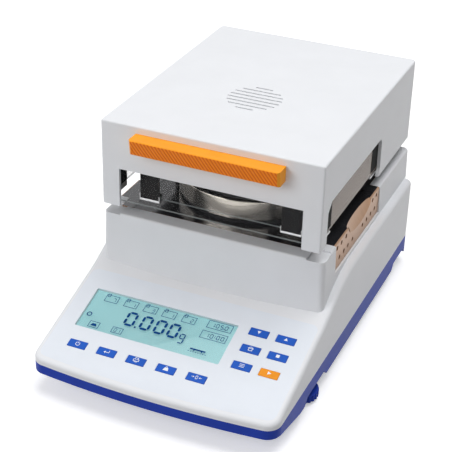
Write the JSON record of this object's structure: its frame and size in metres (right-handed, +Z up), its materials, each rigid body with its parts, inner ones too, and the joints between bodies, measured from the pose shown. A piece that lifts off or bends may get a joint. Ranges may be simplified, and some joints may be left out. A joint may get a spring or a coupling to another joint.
{
  "type": "moisture analyzer",
  "caption": "Halogen moisture analyzer: a sloped keypad base with a weighing pan in a draft ring, under a hinged heater hood with glass windows, a vented roof and a grip bar.",
  "frame": {"origin": "on the table, under the middle of the footprint", "axes": "+Z up, +X to the operator's right, +Y to the rear; the keypad faces -Y"},
  "size_m": [0.226, 0.3658, 0.209],
  "materials": {
    "white_case": "smooth, faint satin grain",
    "overlay": "satin printed film",
    "blue_plastic": "satin moulded",
    "blue_key": "satin printed film",
    "orange_key": "satin printed film",
    "orange_grip": "satin, ribbed front",
    "display_clear": "clear gloss",
    "display_panel": "backlit liquid-crystal panel",
    "board": "green solder mask",
    "beige_steel": "brushed",
    "steel": "polished",
    "thin_aluminium": "bright rolled",
    "black_plastic": "moulded",
    "black_sheet": "satin black",
    "brass_insert": "turned",
    "rubber_pad": "matte",
    "ceramic": "unglazed",
    "lamp_glass": "clear quartz",
    "pane_glass": "clear polished"
  },
  "bodies": {
    "base": {"upper_case": "white_case", "lower_tray": "blue_plastic", "chamber_surround": "white_case", "panel_overlay": "overlay", "display_cover": "display_clear", "display_module": "display_panel", "key_board": "board", "floor_plate": "beige_steel", "heat_tub": "thin_aluminium", "ring_seat": "black_plastic", "cell_mount": "thin_aluminium", "load_cell": "thin_aluminium", "main_board": "board", "power_supply": "board", "mains_inlet": "black_plastic", "switch_frame": "black_plastic", "data_socket": "steel", "foot_inserts": "brass_insert", "base_leaves": "steel"},
    "hood": {"hood_shell": "white_case", "hood_grip": "orange_grip", "carrier_plate": "black_sheet", "reflector": "thin_aluminium", "halogen_lamp": "lamp_glass", "lamp_holders": "ceramic", "protective_glass": "pane_glass", "glass_clips": "steel", "front_pane": "pane_glass", "inner_pane": "pane_glass", "left_pane": "pane_glass", "right_pane": "pane_glass", "pane_hangers": "black_sheet", "side_straps": "black_sheet", "temperature_sensor": "steel", "hood_leaves": "steel", "hinge_pins": "steel"},
    "draft_ring": {"draft_ring": "steel"},
    "sample_pan": {"sample_pan": "thin_aluminium"},
    "weighing": {"weighing_shaft": "steel", "pan_support": "steel"},
    "key_row_1": {"key_row_1": "blue_key"},
    "key_row_2": {"key_row_2": "blue_key"},
    "key_row_3": {"key_row_3": "blue_key"},
    "key_row_4": {"key_row_4": "blue_key"},
    "key_row_5": {"key_row_5": "blue_key"},
    "key_arrow_down": {"key_arrow_down": "blue_key"},
    "key_arrow_up": {"key_arrow_up": "blue_key"},
    "key_block_left_middle": {"key_block_left_middle": "blue_key"},
    "key_block_right_middle": {"key_block_right_middle": "blue_key"},
    "key_block_left_low": {"key_block_left_low": "blue_key"},
    "key_start": {"key_start": "orange_key"},
    "power_switch": {"power_switch": "black_plastic"},
    "foot_pad_front_left": {"foot_pad_front_left": "rubber_pad"},
    "foot_front_left": {"foot_front_left": "blue_plastic"},
    "foot_pad_front_right": {"foot_pad_front_right": "rubber_pad"},
    "foot_front_right": {"foot_front_right": "blue_plastic"},
    "foot_pad_rear_left": {"foot_pad_rear_left": "rubber_pad"},
    "foot_rear_left": {"foot_rear_left": "blue_plastic"},
    "foot_pad_rear_right": {"foot_pad_rear_right": "rubber_pad"},
    "foot_rear_right": {"foot_rear_right": "blue_plastic"}
  },
  "joints": [
    {"name": "hood_open", "type": "hinge", "parent": "base", "child": "hood", "pos_m": [0, 0.1769, 0.127], "axis": [-1, 0, 0], "range_deg": [0, 75]},
    {"name": "draft_ring_lift", "type": "slide", "parent": "base", "child": "draft_ring", "axis": [0, 0, 1], "range_m": [0, 0.012]},
    {"name": "sample_pan_lift", "type": "slide", "parent": "base", "child": "sample_pan", "axis": [0, 0, 1], "range_m": [0, 0.015]},
    {"name": "weighing_press", "type": "slide", "parent": "base", "child": "weighing", "axis": [0, 0, -1], "range_m": [0, 0.0004], "stiffness_N_per_m": 20000},
    {"name": "key_row_1_press", "type": "slide", "parent": "base", "child": "key_row_1", "axis": [0, 0.284, -0.9588], "range_m": [0, 0.0004], "stiffness_N_per_m": 2500},
    {"name": "key_row_2_press", "type": "slide", "parent": "base", "child": "key_row_2", "axis": [0, 0.284, -0.9588], "range_m": [0, 0.0004], "stiffness_N_per_m": 2500},
    {"name": "key_row_3_press", "type": "slide", "parent": "base", "child": "key_row_3", "axis": [0, 0.284, -0.9588], "range_m": [0, 0.0004], "stiffness_N_per_m": 2500},
    {"name": "key_row_4_press", "type": "slide", "parent": "base", "child": "key_row_4", "axis": [0, 0.284, -0.9588], "range_m": [0, 0.0004], "stiffness_N_per_m": 2500},
    {"name": "key_row_5_press", "type": "slide", "parent": "base", "child": "key_row_5", "axis": [0, 0.284, -0.9588], "range_m": [0, 0.0004], "stiffness_N_per_m": 2500},
    {"name": "key_arrow_down_press", "type": "slide", "parent": "base", "child": "key_arrow_down", "axis": [0, 0.284, -0.9588], "range_m": [0, 0.0004], "stiffness_N_per_m": 2500},
    {"name": "key_arrow_up_press", "type": "slide", "parent": "base", "child": "key_arrow_up", "axis": [0, 0.284, -0.9588], "range_m": [0, 0.0004], "stiffness_N_per_m": 2500},
    {"name": "key_block_left_middle_press", "type": "slide", "parent": "base", "child": "key_block_left_middle", "axis": [0, 0.284, -0.9588], "range_m": [0, 0.0004], "stiffness_N_per_m": 2500},
    {"name": "key_block_right_middle_press", "type": "slide", "parent": "base", "child": "key_block_right_middle", "axis": [0, 0.284, -0.9588], "range_m": [0, 0.0004], "stiffness_N_per_m": 2500},
    {"name": "key_block_left_low_press", "type": "slide", "parent": "base", "child": "key_block_left_low", "axis": [0, 0.284, -0.9588], "range_m": [0, 0.0004], "stiffness_N_per_m": 2500},
    {"name": "key_start_press", "type": "slide", "parent": "base", "child": "key_start", "axis": [0, 0.284, -0.9588], "range_m": [0, 0.0004], "stiffness_N_per_m": 2500},
    {"name": "power_switch_rock", "type": "hinge", "parent": "base", "child": "power_switch", "pos_m": [-0.012, 0.1704, 0.062], "axis": [0, 0, -1], "range_deg": [0, 13]},
    {"name": "foot_drop_front_left", "type": "slide", "parent": "base", "child": "foot_pad_front_left", "axis": [0, 0, -1], "range_m": [0, 0.006]},
    {"name": "foot_turn_front_left", "type": "hinge", "parent": "foot_pad_front_left", "child": "foot_front_left", "pos_m": [-0.097, -0.0856, 0.006], "axis": [0, 0, -1], "range_deg": [0, 1728]},
    {"name": "foot_drop_front_right", "type": "slide", "parent": "base", "child": "foot_pad_front_right", "axis": [0, 0, -1], "range_m": [0, 0.006]},
    {"name": "foot_turn_front_right", "type": "hinge", "parent": "foot_pad_front_right", "child": "foot_front_right", "pos_m": [0.097, -0.0856, 0.006], "axis": [0, 0, -1], "range_deg": [0, 1728]},
    {"name": "foot_drop_rear_left", "type": "slide", "parent": "base", "child": "foot_pad_rear_left", "axis": [0, 0, -1], "range_m": [0, 0.006]},
    {"name": "foot_turn_rear_left", "type": "hinge", "parent": "foot_pad_rear_left", "child": "foot_rear_left", "pos_m": [-0.088, 0.1464, 0.006], "axis": [0, 0, -1], "range_deg": [0, 1728]},
    {"name": "foot_drop_rear_right", "type": "slide", "parent": "base", "child": "foot_pad_rear_right", "axis": [0, 0, -1], "range_m": [0, 0.006]},
    {"name": "foot_turn_rear_right", "type": "hinge", "parent": "foot_pad_rear_right", "child": "foot_rear_right", "pos_m": [0.088, 0.1464, 0.006], "axis": [0, 0, -1], "range_deg": [0, 1728]}
  ],
  "couplings": [
    {"joint": "foot_turn_front_left", "follows": "foot_drop_front_left", "rad_per_m": 5026.5},
    {"joint": "foot_turn_front_right", "follows": "foot_drop_front_right", "rad_per_m": 5026.5},
    {"joint": "foot_turn_rear_left", "follows": "foot_drop_rear_left", "rad_per_m": 5026.5},
    {"joint": "foot_turn_rear_right", "follows": "foot_drop_rear_right", "rad_per_m": 5026.5}
  ]
}
